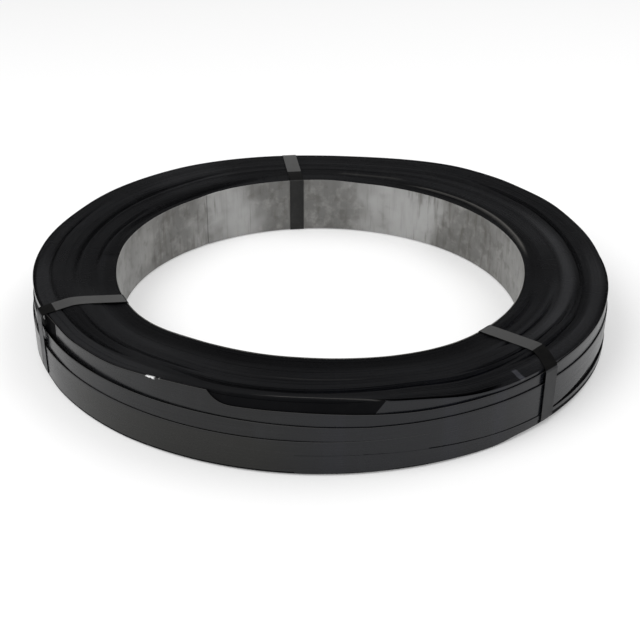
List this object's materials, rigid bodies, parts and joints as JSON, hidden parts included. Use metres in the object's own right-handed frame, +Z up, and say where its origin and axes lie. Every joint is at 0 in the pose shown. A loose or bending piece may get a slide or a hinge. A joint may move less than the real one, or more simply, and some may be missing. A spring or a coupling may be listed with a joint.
{
  "type": "steel strapping coil",
  "caption": "Coil of black steel strapping wound to and fro around an open bore lined with thin sheet and bound by flat strap ties, lying on its end.",
  "frame": {"origin": "on the coil's axis at the level of the floor it lies on", "axes": "+Z up along the coil's axis; the picture looks along +Y and down, with tie_back on the far side, tie_left at the left and tie_right at the front right"},
  "size_m": [0.5738, 0.5738, 0.0711],
  "materials": {
    "strap_coil": "black painted and waxed, semi-gloss",
    "core_sleeve": "dull bare sheet with faint stains",
    "tie_strap": "black painted, semi-gloss"
  },
  "bodies": {
    "root": {"strap_coil": "strap_coil", "core_sleeve": "core_sleeve", "tie_back": "tie_strap", "tie_left": "tie_strap", "tie_right": "tie_strap"}
  },
  "joints": []
}
